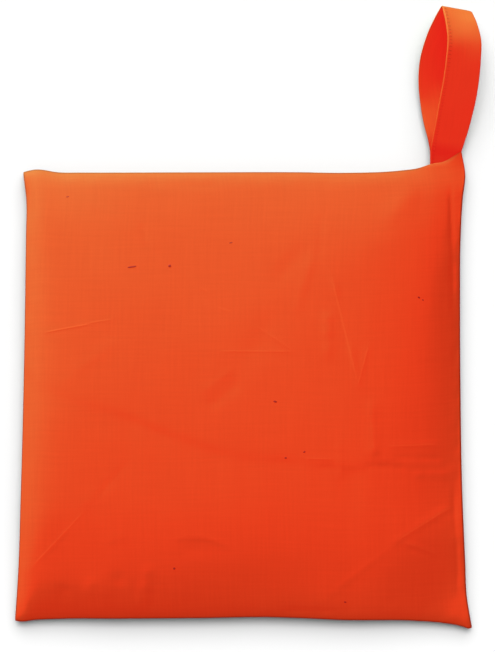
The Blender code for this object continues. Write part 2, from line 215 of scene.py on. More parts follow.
# Creases of the front cloth: from one end to the other, sideways bow, width to either side, and
# height, which is a ridge above 0 and a trough below it.
CREASE_COLUMNS = "x1 y1 x2 y2 bow width height"
FRONT_CREASES = table(CREASE_COLUMNS, [
    # Pull from the loop's corner towards the middle.
    (54, 66, 89, 101, 1.0, 4.0, 0.20),
    (66, 66, 82, 84, -1.0, 4.0, -0.06),
    # Narrow folds that run down the right half and meet.
    (34, 52, 46, 2, 0.6, 1.3, 0.20),
    (37, 43, 43.5, 8, 0.4, 1.6, -0.16),
    (51, 23, 45, 1, -0.3, 1.2, 0.10),
    (33, 35, 33.6, 13, 0.4, 2.2, 0.22),
    (30.8, 73, 30, 53, 0.2, 1.6, -0.09),
    (51, 0, 51.8, -27, 0.3, 2.2, 0.20),
    (38, -17, 38.6, -36, 0.1, 0.9, 0.12),
    # Soft hollows between the folds of the vest inside.
    (26, 60, 12, 42, -1.0, 3.4, -0.15),
    (29.5, 60, 20, 30, -0.6, 2.0, 0.12),
    (14.6, 38, -11.4, -2, 2.0, 5.0, -0.12),
    (-4, 11, -17, 1, 0.5, 1.4, 0.09),
    (-1, 6, -15, -5, 0.5, 2.4, -0.15),
    (-13, 17.4, 23, 17.2, 0.2, 0.9, 0.05),
    (3, 29, 22, 16, 0.3, 1.0, 0.07),
    (-22, 49, -12, 38, 0.2, 1.0, 0.08),
    (-41, 69, -37.6, 57, 0.1, 1.1, -0.12),
    # Left side.
    (-82, 24.4, -62, 28.6, 0.2, 0.9, 0.08),
    (-68, 27, -49, 30.4, 0.2, 1.0, 0.05),
    (-61, 27, -48, 21.6, 0.2, 1.0, -0.04),
    (-75, 2, -48, 23, 0.6, 2.2, 0.06),
    (-87, -71.5, -62, -44.5, -0.6, 1.0, 0.06),
    (-66, -46, -57, -38, 0.2, 2.2, 0.06),
    (-59, -42, -45, -26, 0.2, 1.2, -0.09),
    (-67, 80, -31, 56, 0.8, 1.7, 0.04),
    (-43, 83.5, -7, 83.5, 0.3, 2.0, -0.08),
    # Lower right corner.
    (57, -61, 86, -43, 0.5, 1.5, 0.09),
    (30, -84, 60, -60, 0.6, 1.5, 0.04),
    (63, -58.5, 80, -64.6, 0.2, 1.1, 0.06),
    (64, -60.5, 80, -66.4, 0.2, 1.1, -0.06),
    # Beside the right seam.
    (82.6, 88, 83.8, 30, 0.1, 1.1, -0.22),
    (83.6, -34, 85.8, -84, 0.2, 1.1, -0.12),
    (85.4, -36, 87.6, -80, 0.2, 0.8, 0.05),
    # Beside the layer's edge, and the arcs low on the left.
    (22, -25.2, 38, -25.6, 0.1, 0.8, 0.05),
    (29, -28.6, 40, -29.0, 0.1, 1.2, -0.09),
    (46, -28.6, 67, -29.0, 0.2, 1.2, -0.10),
    (55, -20.8, 80, -19.8, 0.2, 0.9, 0.08),
    (58, -25.2, 81, -25.6, 0.2, 1.2, -0.09),
    (66, -32, 84, -32, 0.2, 1.2, 0.09),
    (-30, -58, -4, -62, 3.4, 1.2, 0.09),
    (-27, -62, -12, -63, 1.0, 3.2, -0.07),
    (-57, -60, -40, -57, 2.0, 1.3, 0.06),
    # Gathers along the bottom seam.
    (-71, -75, -75.5, -90, 0.0, 2.8, -0.15),
    (-60, -72, -65, -90, 0.0, 2.4, 0.10),
    (-49.6, -69, -53, -90, 0.4, 2.8, -0.12),
    (-37, -66, -43.5, -90, 0.4, 2.4, 0.15),
    (-34.6, -74, -38, -90, 0.0, 2.0, -0.11),
    (-20, -79, -21, -89, 0.0, 3.0, -0.06),
    (12, -86.2, 40, -86.6, 0.2, 1.3, -0.16),
    (58, -80, 61, -90, 0.0, 3.2, -0.05),
])

# Edge of a folded layer inside, which shows as one long soft step down towards the bottom seam:
# x, y, drop and width.
LAYER_STEP = [
    (-92, 8, 0.00, 2.4),
    (-76, 2.0, 0.16, 2.0),
    (-64.6, -3.0, 0.22, 1.8),
    (-53.4, -6.0, 0.24, 1.7),
    (-43.4, -9.6, 0.28, 1.5),
    (-31.4, -14.6, 0.28, 1.4),
    (-19.4, -19.0, 0.26, 1.5),
    (-7.4, -23.0, 0.26, 1.6),
    (6.6, -25.2, 0.26, 1.7),
    (16.6, -25.8, 0.22, 1.7),
    (30.6, -28.2, 0.20, 1.6),
    (42.6, -29.4, 0.22, 1.6),
    (54.6, -28.6, 0.20, 1.8),
    (68.6, -28.6, 0.16, 2.2),
    (86, -28.0, 0.00, 2.6),
]

# Fine pressed lines too narrow for the mesh, paler by stress whitening and a painted highlight.
PRESSED_LINES = table("x1 y1 x2 y2 width strength", [
    (-79.4, 24.8, -61, 28.2, 0.6, 1.0),
    (-62, 28.6, -52, 30.0, 0.6, 0.7),
    (-85, -69.4, -63, -46, 0.6, 0.7),
    (-11.4, 17.4, 20.6, 17.2, 0.5, 0.7),
    (5, 27.6, 21, 16.8, 0.5, 0.5),
    (35, 48, 45.6, 5, 0.8, 0.7),
    (50, 20, 45.4, 3, 0.7, 0.6),
    (60.4, -58.8, 84.4, -44, 0.7, 0.7),
    (37, -76.5, 61.4, -58.2, 0.8, 0.2),
    (62.6, -58.2, 78.6, -64.2, 0.7, 0.4),
    (24, -25.2, 36, -25.6, 0.6, 0.6),
    (57, -20.6, 78, -19.8, 0.6, 0.6),
    (50.8, -7, 51.8, -23, 1.2, 0.4),
    (-17.6, 43, -14, 41, 0.6, 0.5),
    (-10.4, 35, -4.6, 33, 0.6, 0.5),
])

BACK_CREASES = table(CREASE_COLUMNS, [
    (-80, -80, -46, -48, 1.5, 2.0, -0.10),
    (82, -82, 58, -52, -1.2, 2.2, -0.12),
    (-30, -84, -22, -40, 1.0, 2.6, -0.08),
    (18, -86, 12, -58, 0.6, 1.8, -0.07),
    (44, -30, 70, -8, 1.2, 1.6, -0.06),
    (-76, -12, -34, 4, -1.0, 1.8, -0.07),
    (-8, 2, 34, 10, 0.8, 2.4, -0.06),
    (-78, 78, -52, 50, 1.0, 2.0, -0.10),
    (76, 82, 50, 52, -1.4, 2.4, -0.12),
    (-24, 84, -16, 56, 0.4, 2.0, -0.07),
    (20, 46, 52, 40, 0.8, 1.7, -0.05),
])

# Unevenness that isn't placed crease by crease: the size and length of its waves. The size of
# STEP_WAVES is a share of the step's drop.
Waves = namedtuple("Waves", "size length seed")
CRUMPLE = Waves(0.018 * MM, 22 * MM, 1)
FINE_CRUMPLE = Waves(0.003 * MM, 7 * MM, 2)
GATHERS = Waves(0.05 * MM, 9 * MM, 3)
STEP_WAVES = Waves(0.35, 11 * MM, 4)
BACK_HOLLOWS = Waves(0.03 * MM, 18 * MM, 5)
STRAP_WAVES = Waves(0.10 * MM, 16 * MM, 7)
WAVES_ADDED = 14
CRUMPLE_REACH = 12 * MM
GATHER_REACH = 9 * MM
FRONT_SMOOTH_EDGE = 1.2 * MM
BACK_SMOOTH_EDGE = 3 * MM
LAYER_RECOVERY = 22 * MM
CREASE_ENDS = 0.22

# Slubs, where a knot in the yarn shows as a dark speck on the front.
SLUBS = table("x y length width turn", [
    (-29.4, 51.4, 1.15, 1.00, 20),
    (-44.4, 51.0, 3.50, 0.62, 9),
    (-5.0, 60.6, 1.30, 0.45, 12),
    (12.6, -2.6, 1.35, 0.75, -15),
    (16.8, -25.0, 0.90, 0.65, 0),
    (24.2, -22.6, 0.95, 0.62, 35),
    (-27.6, -69.2, 0.85, 0.90, 70),
    (69.9, 38.8, 1.00, 0.60, -30),
    (71.5, 37.8, 0.80, 0.50, -30),
    (40.6, -82.8, 0.95, 0.60, -20),
    (-70.2, 79.0, 1.20, 0.40, 10),
])

# Painted light and shade in the glow: what it loses facing the key light squarely, in painted
# shade, and in painted shade beside an edge; the low part away from that light gets more of it.
MOST_PAINTED_GLOW = 1.07
LOST_IN_FULL_LIGHT = 0.145
LOST_IN_SHADE = 0.225
LOST_BESIDE_EDGE = 0.20
EDGE_SHADE_REACH = 2.4 * MM
SHADE_SHARPNESS = 16
SHADE_LIMIT = 0.04
FAR_SIDE_SHADE = 0.18
FAR_SIDE_REACH = 60 * MM
SUNK_FROM = 14 * MM
SUNK_OVER = 6 * MM

front_low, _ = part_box("pouch_front")
PLAN_SHIFT = np.array([front_low.x - BOTTOM_LEFT.x, front_low.y - BOTTOM_RIGHT.y, 0.0])


# Curves and forms shared by the panels.

def smooth_through(places, values, where):
    """Cubic curve through stations, each station's slope coming from its neighbours."""
    slopes = np.gradient(values, places)
    left = np.clip(np.searchsorted(places, where, side="right") - 1, 0, len(places) - 2)
    gap = places[left + 1] - places[left]
    s = (where - places[left]) / gap
    start = values[left] * (1 + 2 * s) * (1 - s) ** 2 + slopes[left] * gap * s * (1 - s) ** 2
    end = values[left + 1] * s * s * (3 - 2 * s) + slopes[left + 1] * gap * s * s * (s - 1)
    return start + end


def rising(x):
    """0 up to 0, easing to 1 at 1 and beyond."""
    x = np.clip(x, 0, 1)
    return x * x * (3 - 2 * x)


def falling(distance, reach):
    """1 at no distance, easing to 0 at reach and beyond."""
    return 1 - rising(distance / reach)


def side_curve(first, last, stations, where):
    """Points of one seam, drawn in towards the pouch's middle and lowest at its corners."""
    chord = np.array([last.x - first.x, last.y - first.y])
    length = math.hypot(*chord)
    inward = np.array([-chord[1], chord[0]]) / length
    if inward @ np.array([first.x + last.x, first.y + last.y]) > 0:
        inward = -inward
    inset = MM * smooth_through(*np.transpose(stations), where)
    height = (SEAM_HEIGHT
              + (first.height - SEAM_HEIGHT) * falling(where * length, CORNER_REACH)
              + (last.height - SEAM_HEIGHT) * falling((1 - where) * length, CORNER_REACH))
    return np.stack([
        first.x + chord[0] * where + inward[0] * inset,
        first.y + chord[1] * where + inward[1] * inset,
        height,
    ], axis=-1)


def seam_sheet(across, along):
    """Points spanning the four seams, at fractions across (left to right) and along (bottom to top)."""
    u = across[..., None]
    v = along[..., None]
    corners = [np.array(corner) for corner in (BOTTOM_LEFT, BOTTOM_RIGHT, TOP_LEFT, TOP_RIGHT)]
    bottom = side_curve(BOTTOM_LEFT, BOTTOM_RIGHT, BOTTOM_SIDE, across)
    top = side_curve(TOP_LEFT, TOP_RIGHT, TOP_SIDE, across)
    left = side_curve(BOTTOM_LEFT, TOP_LEFT, LEFT_SIDE, along)
    right = side_curve(BOTTOM_RIGHT, TOP_RIGHT, RIGHT_SIDE, along)
    flat = ((1 - u) * (1 - v) * corners[0] + u * (1 - v) * corners[1]
            + (1 - u) * v * corners[2] + u * v * corners[3])
    return (1 - v) * bottom + v * top + (1 - u) * left + u * right - flat


def softly_capped(value, hardness=14):
    """value where it is well under 1, easing to 1 above it."""
    return value - np.logaddexp(0, hardness * (value - 1)) / hardness


def softly_floored(value, hardness=11):
    """value where it is well over 0, easing to 0 below it."""
    return np.logaddexp(0, hardness * value) / hardness


def from_sides(across, along):
    """Distance in from each side of the pouch, as if its sides were straight."""
    return {
        "left": across * POUCH_WIDTH,
        "right": (1 - across) * POUCH_WIDTH,
        "bottom": along * POUCH_LENGTH,
        "top": (1 - along) * POUCH_LENGTH,
    }


def nearer_sides(across, along):
    """Distance in from the nearer of left and right, and from the nearer of bottom and top."""
    distance = from_sides(across, along)
    return np.minimum(distance["left"], distance["right"]), np.minimum(distance["bottom"], distance["top"])


def rolled_off(across, along, rolls):
    """0 on the flat middle of a panel, 1 at its seams and in the ears at its corners."""
    rolled = {side: softly_floored(1 - distance / rolls[side].reach) ** rolls[side].roundness
              for side, distance in from_sides(across, along).items()}
    together = (np.maximum(rolled["left"], rolled["right"]) ** CORNER_SQUARENESS
                + np.maximum(rolled["bottom"], rolled["top"]) ** CORNER_SQUARENESS)
    return softly_capped(together ** (1 / CORNER_SQUARENESS))


def seam_drops(across, along, rolls):
    """The fall kept for the seams, and how much of it is already taken, at each point."""
    beside_root = falling((across - 0.5) * POUCH_WIDTH - ROOT_FLAT_FROM, ROOT_FLAT_TO - ROOT_FLAT_FROM)
    kept = taken = 0
    for side, distance in from_sides(across, along).items():
        drop = rolls[side].drop * (beside_root if side == "top" else 1)
        kept = kept + drop * np.exp(-distance / DROP_HELD)
        taken = taken + drop * np.exp(-distance / rolls[side].drop_reach)
    return kept, taken


def filled_out(points, across, along):
    """Height added by the folds of the vest inside."""
    x, y = points[..., 0] / MM, points[..., 1] / MM
    total = sum(mound.height * MM * np.exp(-((x - mound.x) / mound.reach_x) ** 2
                                           - ((y - mound.y) / mound.reach_y) ** 2) for mound in MOUNDS)
    sideways, lengthways = nearer_sides(across, along)
    return total * (1 - np.exp(-sideways / MOUND_TAPER)) * (1 - np.exp(-lengthways / MOUND_TAPER))


def root_opening(points, height, ramp):
    """How far a panel stands off the seam to let the sewn-in strap through."""
    x, y = points[..., 0], points[..., 1]
    sideways = np.maximum(np.maximum(STRAP_ROOT_LEFT - x, x - STRAP_ROOT_RIGHT), 0)
    lengthways = np.maximum(STRAP_ROOT_END - y, 0)
    return height * falling(np.hypot(sideways, lengthways), ramp)


def normals_of(points):
    """Upward unit normals of a grid of points."""
    normal = np.cross(np.gradient(points, axis=1), np.gradient(points, axis=0))
    return normal / np.linalg.norm(normal, axis=-1)[..., None]


def crowded(count, length):
    """Fractions over a panel of this length, just inside its seams and closer together near them."""
    even = np.linspace(0, 1, count + 1)
    crowd = (1 - EDGE_CROWDING) * even + EDGE_CROWDING * (1 - np.cos(math.pi * even)) / 2
    return EDGE_INSET / length + (1 - 2 * EDGE_INSET / length) * crowd


def travelled(points, axis=0):
    """Distance covered from the first point to each, along one axis of their grid."""
    steps = np.linalg.norm(np.diff(points, axis=axis), axis=-1)
    return np.insert(np.cumsum(steps, axis=axis), 0, 0, axis=axis)


def signed_power(value, power):
    return np.sign(value) * np.abs(value) ** power


def ripples(x, y, waves):
    """Smooth uneven waves of about one length, from -1 to 1 at most places, before their size."""
    draw = np.random.default_rng(waves.seed)
    total = np.zeros_like(x)
    for _ in range(WAVES_ADDED):
        heading = draw.uniform(0, 2 * math.pi)
        number = 2 * math.pi / (waves.length * draw.uniform(0.7, 1.5))
        phase = draw.uniform(0, 2 * math.pi)
        total += np.sin(number * (x * math.cos(heading) + y * math.sin(heading)) + phase)
    return total / math.sqrt(WAVES_ADDED)


def crease_height(x, y, crease, number):
    """Height of one crease: strongest in its middle, uneven along its length, gone at its ends."""
    start = np.array([crease.x1, crease.y1]) * MM
    chord = np.array([crease.x2 - crease.x1, crease.y2 - crease.y1]) * MM
    length = math.hypot(*chord)
    heading = chord / length
    run = ((x - start[0]) * heading[0] + (y - start[1]) * heading[1]) / length
    off = (y - start[1]) * heading[0] - (x - start[0]) * heading[1]
    inside = np.clip(run, 0, 1)
    off = off - 4 * crease.bow * MM * inside * (1 - inside)
    ends = rising(run / CREASE_ENDS) * rising((1 - run) / CREASE_ENDS)
    uneven = 1 + 0.25 * np.sin(9 * inside + number) + 0.15 * np.sin(23 * inside + 2 * number)
    return crease.height * MM * ends * uneven * np.exp(-(off / (crease.width * MM)) ** 2)


def creases_height(x, y, creases):
    return sum(crease_height(x, y, crease, number) for number, crease in enumerate(creases))


def layer_step_height(x, y):
    """The long step down over the edge of a folded layer inside."""
    places, *columns = np.transpose(LAYER_STEP)
    places = places * MM
    where = np.clip(x, places[0], places[-1])
    line, drop, width = (MM * smooth_through(places, column, where) for column in columns)
    step = (1 + np.tanh((line - y) / width)) / 2 * np.exp(-np.maximum(line - y, 0) / LAYER_RECOVERY)
    uneven = 1 + STEP_WAVES.size * ripples(x, 0 * x, STEP_WAVES)
    return -drop * uneven * step


# Cloth panels.

def front_face(across, along):
    """Outer face of the front cloth, before its creases."""
    points = seam_sheet(across, along)
    swell = (1 - (2 * across - 1) ** 2) * (1 - (2 * along - 1) ** 2)
    crown = FILLED_HEIGHT - DOME
    rim = points[..., 2] + LIP + root_opening(points, ROOT_LIFT, ROOT_LIFT_RAMP)
    kept, taken = seam_drops(across, along, FRONT_ROLLS)
    fall = (rim + kept - crown) * rolled_off(across, along, FRONT_ROLLS)
    points[..., 2] = crown + DOME * swell + fall - taken + filled_out(points, across, along)
    return points


def creased(points, heights):
    """The grid moved along its own normals by the given heights."""
    return points + normals_of(points) * heights[..., None]


def front_relief(points, across, along):
    """All the creases of the front: the drawn ones, the layer's edge and a fine crumple."""
    x, y = points[..., 0], points[..., 1]
    distance = np.minimum(*nearer_sides(across, along))
    relief = creases_height(x, y, FRONT_CREASES) + layer_step_height(x, y)
    relief += CRUMPLE.size * ripples(x, y, CRUMPLE) * rising(distance / CRUMPLE_REACH)
    relief += FINE_CRUMPLE.size * ripples(x, y, FINE_CRUMPLE)
    relief += GATHERS.size * (ripples(x, y, GATHERS) * falling(distance, GATHER_REACH))
    return relief * rising(distance / FRONT_SMOOTH_EDGE)


def back_face(across, along):
    """Outer face of a back cloth, which lies on the surface."""
    points = seam_sheet(across, along)
    rolled = rolled_off(across, along, BACK_ROLLS)
    rim = points[..., 2] - LIP - root_opening(points, ROOT_OPENING, ROOT_RAMP)
    points[..., 2] = rim * rolled
    return points


def back_relief(points, across, along):
    x, y = points[..., 0], points[..., 1]
    distance = np.minimum(*nearer_sides(across, along))
    relief = np.minimum(creases_height(x, y, BACK_CREASES), 0)
    relief -= BACK_HOLLOWS.size * (1 + ripples(x, y, BACK_HOLLOWS)).clip(0)
    return -relief * rising(distance / BACK_SMOOTH_EDGE)


def fraction_along(y):
    return 0.5 + y / POUCH_LENGTH


def tucked_share(along):
    """1 where the upper back lies on the lower one, easing to 0 beyond the outer hem."""
    y = (along - 0.5) * POUCH_LENGTH
    return falling(np.maximum(y - OUTER_HEM - HEM_CLEARANCE, 0), HEM_RAMP)


Rim = namedtuple("Rim", "places across seams outward")


def rim_places(rows, columns):
    """Rows and columns of a grid's outer points, once round from its first corner."""
    bottom = [(0, column) for column in range(columns)]
    right = [(row, columns - 1) for row in range(1, rows)]
    top = [(rows - 1, column) for column in range(columns - 2, -1, -1)]
    left = [(row, 0) for row in range(rows - 2, 0, -1)]
    return tuple(np.transpose(bottom + right + top + left))


def drawn_in(across, along):
    """Level directions out through a panel's rim, one unit long square to its sides."""
    step = 3 * MM
    nearer_across = across + (1 - 2 * across) * step / POUCH_WIDTH
    nearer_along = along + (1 - 2 * along) * step / POUCH_LENGTH
    outward = (seam_sheet(across, along) - seam_sheet(nearer_across, nearer_along)) / step
    outward[:, 2] = 0
    return outward


def rim_of(across, along):
    """A panel's outer points: their places in its grid, and the seam and the way out beside them."""
    places = rim_places(*across.shape)
    across, along = across[places], along[places]
    return Rim(places, across, seam_sheet(across, along), drawn_in(across, along))


def turned_edge(points, rim, seat, turn_depth, allowance):
    """Rows of points that carry a panel's rim round its edge and back in to the seat height."""
    start = points[rim.places]
    rows, columns = rim.places
    inner = points[np.clip(rows, 1, points.shape[0] - 2), np.clip(columns, 1, points.shape[1] - 2)]
    tangent = start - inner
    tangent /= np.linalg.norm(tangent, axis=-1)[:, None]
    end = start - rim.outward * turn_depth[:, None]
    end[:, 2] = seat
    first_handle = start + tangent * TURN_START
    last_handle = end + rim.outward * (TURN_END * np.minimum(turn_depth / TURN_DEPTH, 1))[:, None]
    turned = []
    for t in np.linspace(0, 1, TURN_ROWS + 1)[1:]:
        turned.append((1 - t) ** 3 * start + 3 * (1 - t) ** 2 * t * first_handle
                      + 3 * (1 - t) * t * t * last_handle + t ** 3 * end)
    for share in (0.5, 1.0):
        turned.append(end - rim.outward * (allowance * share)[:, None])
    return turned


def cloth_piece(name, points, rim, turned, upward):
    """Mesh of a panel grid with its turned edge, solidified, carrying its place on the cloth."""
    grid = np.arange(points.shape[0] * points.shape[1]).reshape(points.shape[:2])
    faces = [np.stack([grid[:-1, :-1], grid[:-1, 1:], grid[1:, 1:], grid[1:, :-1]], -1).reshape(-1, 4)]
    inner = grid[rim.places]
    for number in range(len(turned)):
        outer = grid.size + number * inner.size + np.arange(inner.size)
        faces.append(np.stack([np.roll(inner, -1), inner, outer, np.roll(outer, -1)], -1))
        inner = outer
    faces = np.concatenate(faces)
    vertices = np.concatenate([points.reshape(-1, 3)] + turned)
    places = panel_places(points, rim, turned)
    piece = mesh_piece(name, vertices, (faces if upward else faces[:, ::-1]).tolist(), places)
    solidify = piece.modifiers.new("cloth", "SOLIDIFY")
    solidify.thickness = CLOTH
    solidify.offset = -1
    return piece


def panel_places(points, rim, turned):
    """Distance along the cloth across and lengthways, and in from the edge, at each point."""
    from_left = travelled(points, 1)
    from_bottom = travelled(points, 0)
    across = from_left - from_left[:, from_left.shape[1] // 2][:, None]
    along = from_bottom - from_bottom[from_bottom.shape[0] // 2][None]
    inward = np.minimum(np.minimum(from_left, from_left[:, -1:] - from_left),
                        np.minimum(from_bottom, from_bottom[-1:] - from_bottom)) + EDGE_INSET
    places = np.stack([across, along, inward], axis=-1)
    found = [places.reshape(-1, 3)]
    here = places[rim.places]
    previous = points[rim.places]
    outward = rim.outward
    for row in turned:
        step = np.linalg.norm(row - previous, axis=-1)
        here = here + np.stack([outward[:, 0] * step, outward[:, 1] * step, -step], axis=-1)
        found.append(here)
        previous = row
    return np.concatenate(found)


def added(name, data):
    """A new object in the scene."""
    thing = bpy.data.objects.new(name, data)
    bpy.context.scene.collection.objects.link(thing)
    return thing


def mesh_piece(name, vertices, faces, places=None):
    """A smooth mesh object, moved from the pouch's plan to the frame."""
    mesh = bpy.data.meshes.new(name)
    mesh.from_pydata((np.asarray(vertices) + PLAN_SHIFT).tolist(), [], faces)
    mesh.shade_smooth()
    piece = added(name, mesh)
    if places is not None:
        carry(piece, "cloth_place", places)
    return piece


def carry(piece, name, vectors):
    """Gives the piece a vector at each of its points, for its finish to read."""
    carried = piece.data.attributes.new(name, "FLOAT_VECTOR", "POINT")
    carried.data.foreach_set("vector", np.asarray(vectors, np.float32).ravel())


def vectors_of(items, name):
    """A vector of each of a mesh's items, a row each."""
    found = np.zeros(len(items) * 3, np.float32)
    items.foreach_get(name, found)
    return found.reshape(-1, 3)


def paint_key_light_into_glow(piece):
    """Carries the glow as painted light and shade: little in shade, hardly more in full light."""
    mesh = piece.data
    inward = vectors_of(mesh.attributes["cloth_place"].data, "vector")[:, 2]
    facing = vectors_of(mesh.vertex_normals, "vector")
    places = vectors_of(mesh.vertices, "co")
    towards = np.array(KEY_PLACE) - places
    distance = np.linalg.norm(towards, axis=1)
    light_heading = np.array(KEY_PLACE[:2]) / math.hypot(*KEY_PLACE[:2])
    behind = rising(-(places[:, :2] @ light_heading) / FAR_SIDE_REACH)
    sunk = rising((SUNK_FROM - places[:, 2]) / SUNK_OVER)
    # lit is the key light painted into the glow, less a painted shadow on the low far side.
    lit = (facing * towards).sum(axis=1) / distance ** 3 - FAR_SIDE_SHADE * behind * sunk
    shade = 1 / (1 + np.exp(SHADE_SHARPNESS * (lit + SHADE_LIMIT)))
    beside_edge = np.exp(-np.maximum(inward, 0) / EDGE_SHADE_REACH)
    lost_in_shade = LOST_IN_SHADE + LOST_BESIDE_EDGE * beside_edge
    glow = MOST_PAINTED_GLOW - LOST_IN_FULL_LIGHT * np.maximum(lit, 0) - shade * lost_in_shade
    painted_key_light = mesh.attributes.new("painted_key_light", "FLOAT", "POINT")
    painted_key_light.data.foreach_set("value", glow.astype(np.float32))


def front_cloth():
    across, along = np.meshgrid(crowded(FRONT_COLUMNS, POUCH_WIDTH), crowded(FRONT_ROWS, POUCH_LENGTH))
    face = front_face(across, along)
    points = creased(face, front_relief(face, across, along))
    rim = rim_of(across, along)
    seat = rim.seams[:, 2] + SEAM_GAP / 2 + root_opening(rim.seams, ROOT_OPENING, ROOT_RAMP)
    same = np.ones(len(seat))
    turned = turned_edge(points, rim, seat, TURN_DEPTH * same, ALLOWANCE * same)
    return cloth_piece("pouch_front_cloth", points, rim, turned, upward=True), points


def back_cloth(name, start, end, hem_row, tucked):
    """One back panel between two fractions along the pouch, hemmed along one of its rows."""
    across, along = np.meshgrid(crowded(BACK_COLUMNS, POUCH_WIDTH), np.linspace(start, end, BACK_ROWS))
    share = tucked_share(along) if tucked else np.zeros_like(along)
    margin = share * TUCKED_SIDE_INSET / POUCH_WIDTH
    placed = margin + (1 - 2 * margin) * across
    face = back_face(placed, along)
    face[..., 2] += back_relief(face, placed, along) + share * HEM_LAYERS
    rim = rim_of(placed, along)
    at_hem = rim.places[0] == hem_row
    rim.outward[at_hem, 0] = (2 * rim.across[at_hem] - 1) * HEM_SPLAY
    rim.outward[at_hem, 1] = -1 if hem_row == 0 else 1
    at_seam = rim.seams[:, 2] - SEAM_GAP / 2 - root_opening(rim.seams, ROOT_OPENING, ROOT_RAMP)
    seat = np.where(at_hem, face[rim.places][:, 2] + HEM_FOLD, at_seam)
    depth = np.where(at_hem, HEM_TURN, TURN_DEPTH)
    turned = turned_edge(face, rim, seat, depth, np.where(at_hem, HEM_DEPTH, ALLOWANCE))
    return cloth_piece(name, face, rim, turned, upward=False), face


# Hanging loop.

StrapPath = namedtuple("StrapPath", "line across outward along")


def strap_line():
    """Dense centre line of the strap with its tilt and width, softened at the crease."""
    parts = []
    for run in (UPPER_RUN, LOWER_RUN):
        stations = np.array(run) * (MM, MM, MM, math.radians(1), MM)
        along = travelled(stations[:, :3])
        where = np.linspace(0, along[-1], round(along[-1] / STRAP_STEP) + 1)
        parts.append(np.stack([smooth_through(along, column, where) for column in stations.T], axis=-1))
    crease_at = len(parts[0]) - 1
    line = np.concatenate([parts[0], parts[1][1:]])
    reach = math.ceil(3 * CREASE_SOFTNESS / STRAP_STEP)
    weights = np.exp(-0.5 * (np.arange(-reach, reach + 1) * STRAP_STEP / CREASE_SOFTNESS) ** 2)
    padded = np.concatenate([np.repeat(line[:1], reach, 0), line, np.repeat(line[-1:], reach, 0)])
    softened = np.stack([np.convolve(padded[:, k], weights / weights.sum(), "valid") for k in range(5)], -1)
    near = falling(np.abs(np.arange(len(line)) - crease_at) * STRAP_STEP, CREASE_SOFT_TO)[:, None]
    return line + (softened - line) * near, crease_at


def strap_frames(line, crease_at):
    """Directions across the strap and out of the loop, at each point of its line."""
    forward = np.gradient(line[:, :3], axis=0)
    forward /= np.linalg.norm(forward, axis=1)[:, None]
    tilt = line[:, 3]
    near = falling(np.abs(np.arange(len(line)) - crease_at) * STRAP_STEP, CREASE_REACH)
    skew = near * CREASE_SKEW
    level = np.stack([np.cos(tilt) * np.cos(skew), -np.cos(tilt) * np.sin(skew), -np.sin(tilt)], axis=-1)
    across = level - ((1 - near) * (level * forward).sum(axis=1))[:, None] * forward
    across /= np.linalg.norm(across, axis=1)[:, None]
    return across, np.cross(across, forward)


def strap_section(count):
    """Closed section of the doubled strap: -1 to 1 over its width, and over its thickness.

    The thickness is 1 outside the loop and -1 inside it, and falls to 0 at the two pressed edges.
    """
    angles = np.linspace(0, 2 * math.pi, count, endpoint=False)
    square = 5.0
    taper = 1.4
    share = -signed_power(np.cos(angles), 2 / square)
    return signed_power(share, taper), signed_power(np.sin(angles), 2 / square)


def strap_thickness(in_from_left, along):
    """Half thickness of the strap outside: a corded left edge, the stitch groove, and a flat middle."""
    edge = EDGE_CORD * np.exp(-((in_from_left - EDGE_CORD_IN) / EDGE_CORD_WIDTH) ** 2)
    pull = 0.6 + 0.4 * np.cos(2 * math.pi * along / STITCH_PITCH)
    groove = STITCH_GROOVE * pull * np.exp(-((in_from_left - EDGE_STITCH_IN) / STITCH_GROOVE_WIDTH) ** 2)
    return STRAP_THICKNESS / 2 + edge - groove


def hanging_loop_strap():
    line, crease_at = strap_line()
    across, outward = strap_frames(line, crease_at)
    sides = 56
    along = np.repeat(travelled(line[:, :3])[:, None], sides, 1)
    spread, face = strap_section(sides)
    width = line[:, 4][:, None]
    in_from_left = (spread[None] + 1) / 2 * width
    half = np.where(face > 0, strap_thickness(in_from_left, along), STRAP_THICKNESS / 2) * face
    wave = STRAP_WAVES.size * ripples(in_from_left, along, STRAP_WAVES)
    points = (line[:, None, :3] + across[:, None] * (spread[None] * width / 2)[..., None]
              + outward[:, None] * (half + wave)[..., None])
    places = np.stack([in_from_left, along, 0 * along], axis=-1)
    faces = tube_faces(len(line), sides, clockwise=True)
    piece = mesh_piece("hanging_loop_strap", points.reshape(-1, 3), faces, places)
    side_of = np.repeat(np.sign(face)[None], len(line), 0)
    carry(piece, "far_place", np.stack([width - in_from_left, along[-1] - along, side_of], axis=-1))
    return piece, StrapPath(line, across, outward, along[:, 0]), along[crease_at, 0]


def tube_faces(rings, sides, clockwise=False):
    """Faces round a tube and over both its ends, for points that come ring by ring."""
    faces = []
    for start in range(0, (rings - 1) * sides, sides):
        for side in range(sides):
            here = start + side
            there = start + (side + 1) % sides
            faces.append((here, there, there + sides, here + sides))
    if clockwise:
        faces = [(here, up, up_next, there) for here, there, up_next, up in faces]
    ends = [tuple(range(sides - 1, -1, -1)), tuple(range((rings - 1) * sides, rings * sides))]
    return faces + [end[::-1] if clockwise else end for end in ends]


def capsule(start, end, up, radius, flatten):
    """Vertices and faces of one stitch between two points, lower than it is wide."""
    heading = end - start
    length = np.linalg.norm(heading)
    heading = heading / length
    side = np.cross(up, heading)
    side /= np.linalg.norm(side)
    over = np.cross(heading, side)
    rings, sides = 7, 8
    vertices = []
    for ring in range(rings):
        lean = math.pi * (ring + 0.5) / rings
        middle = start + heading * length * (1 - math.cos(lean)) / 2
        size = radius * math.sin(lean) ** 0.5
        for k in range(sides):
            turn = 2 * math.pi * k / sides
            vertices.append(middle + side * size * math.cos(turn) + over * flatten * size * math.sin(turn))
    return vertices, tube_faces(rings, sides)


